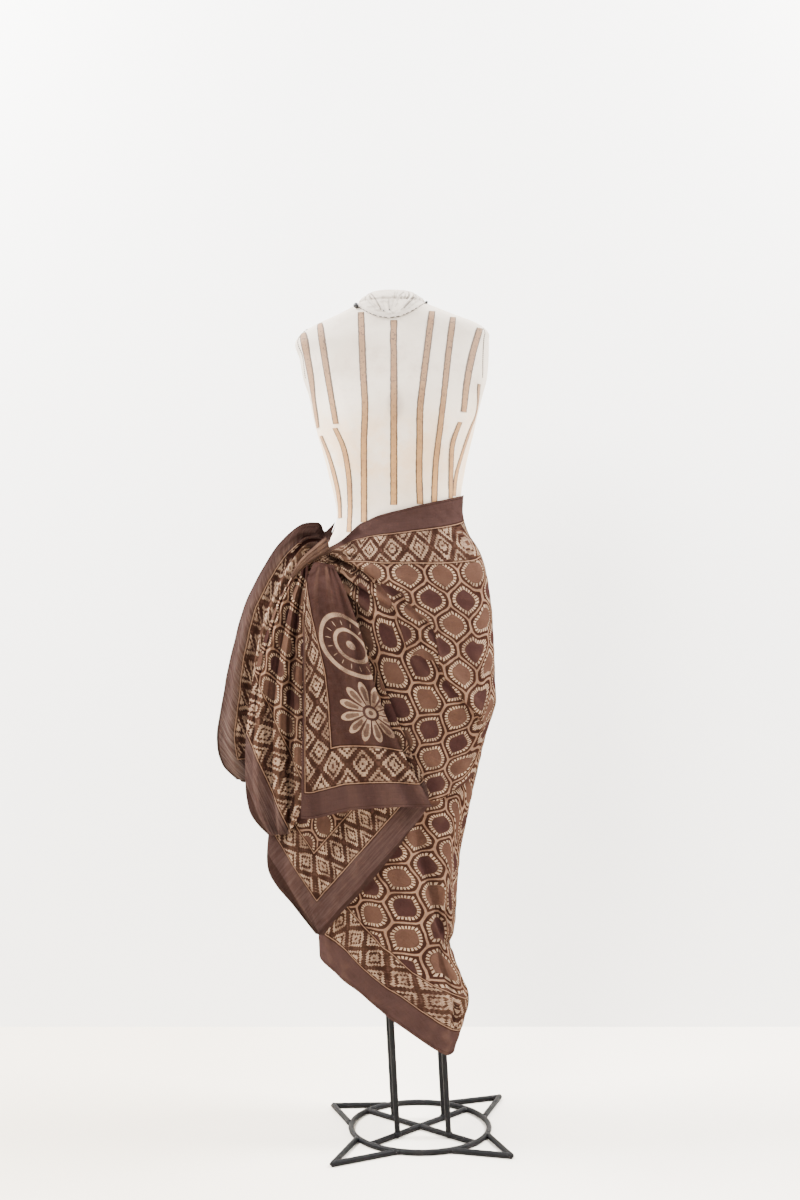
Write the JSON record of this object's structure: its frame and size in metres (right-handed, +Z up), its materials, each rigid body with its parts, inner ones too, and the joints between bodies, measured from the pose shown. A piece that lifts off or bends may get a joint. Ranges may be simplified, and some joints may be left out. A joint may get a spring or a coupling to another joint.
{
  "type": "batik sarong on dress form with iron stand",
  "caption": "Patterned silk sarong wrapped and knotted at the hip of a limbless canvas dress form on a round-rod iron stand.",
  "frame": {"origin": "underside of the crossing of the base's two rods, on the floor", "axes": "+Z up; the form faces -Y; +X to the right of someone who looks at its front"},
  "size_m": [0.5258, 0.3421, 1.504],
  "materials": {
    "batik": "soft silk sheen",
    "canvas": "matt canvas",
    "iron": "black, slightly rough"
  },
  "bodies": {
    "root": {"sarong_wrap": "batik", "sarong_tail_front": "batik", "sarong_tail_corner": "batik", "sarong_tail_outer": "batik", "sarong_tail_inner": "batik", "sarong_knot_band": "batik", "form_torso": "canvas", "neck_cap": "canvas", "base_cross": "iron", "base_ring": "iron", "star_left_front": "iron", "star_right_front": "iron", "star_left_back": "iron", "star_right_back": "iron", "leg_front_left": "iron", "leg_front_right": "iron", "leg_back_left": "iron", "leg_back_right": "iron"}
  },
  "joints": []
}
